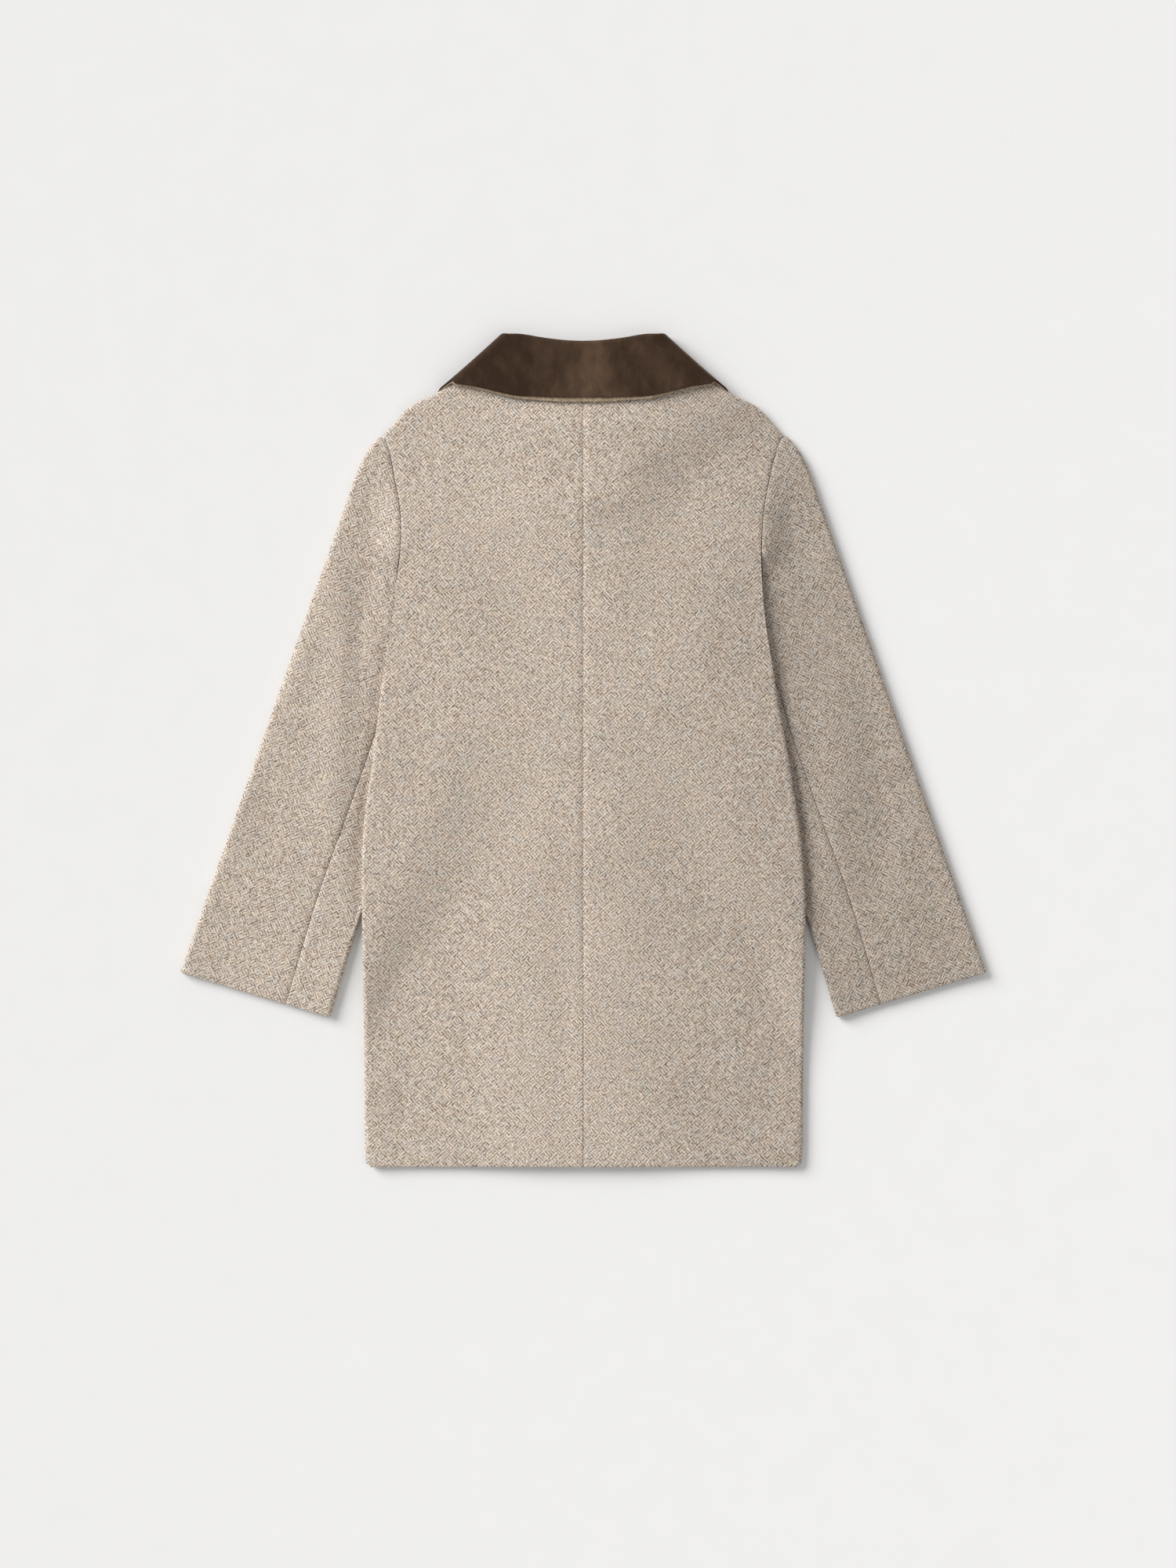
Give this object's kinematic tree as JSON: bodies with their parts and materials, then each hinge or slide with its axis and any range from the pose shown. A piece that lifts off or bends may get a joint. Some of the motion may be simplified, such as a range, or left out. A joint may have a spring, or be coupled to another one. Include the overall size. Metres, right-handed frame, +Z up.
{
  "type": "wool coat",
  "caption": "Child's salt-and-pepper wool coat with a dark velvet collar, laid flat with its back up and its sleeves slanting out.",
  "frame": {"origin": "the middle of the coat's plan, on the surface that it lies on", "axes": "+Y from the hem to the collar, +X to the wearer's right, +Z up out of the coat's back"},
  "size_m": [0.6474, 0.6684, 0.0167],
  "materials": {
    "wool": "salt-and-pepper beige and brown woollen twill with a soft nap",
    "velvet": "dark brown cotton velvet with a brushed nap",
    "collar_cloth": "plain tan collar cloth",
    "button": "plain dark brown turned button"
  },
  "bodies": {
    "root": {"back_left": "wool", "back_right": "wool", "front_left": "wool", "front_right": "wool", "top_sleeve_left": "wool", "top_sleeve_right": "wool", "under_sleeve_left": "wool", "under_sleeve_right": "wool", "upper_collar": "velvet", "under_collar": "collar_cloth", "button_1": "button", "button_2": "button", "button_3": "button", "button_4": "button"}
  },
  "joints": []
}
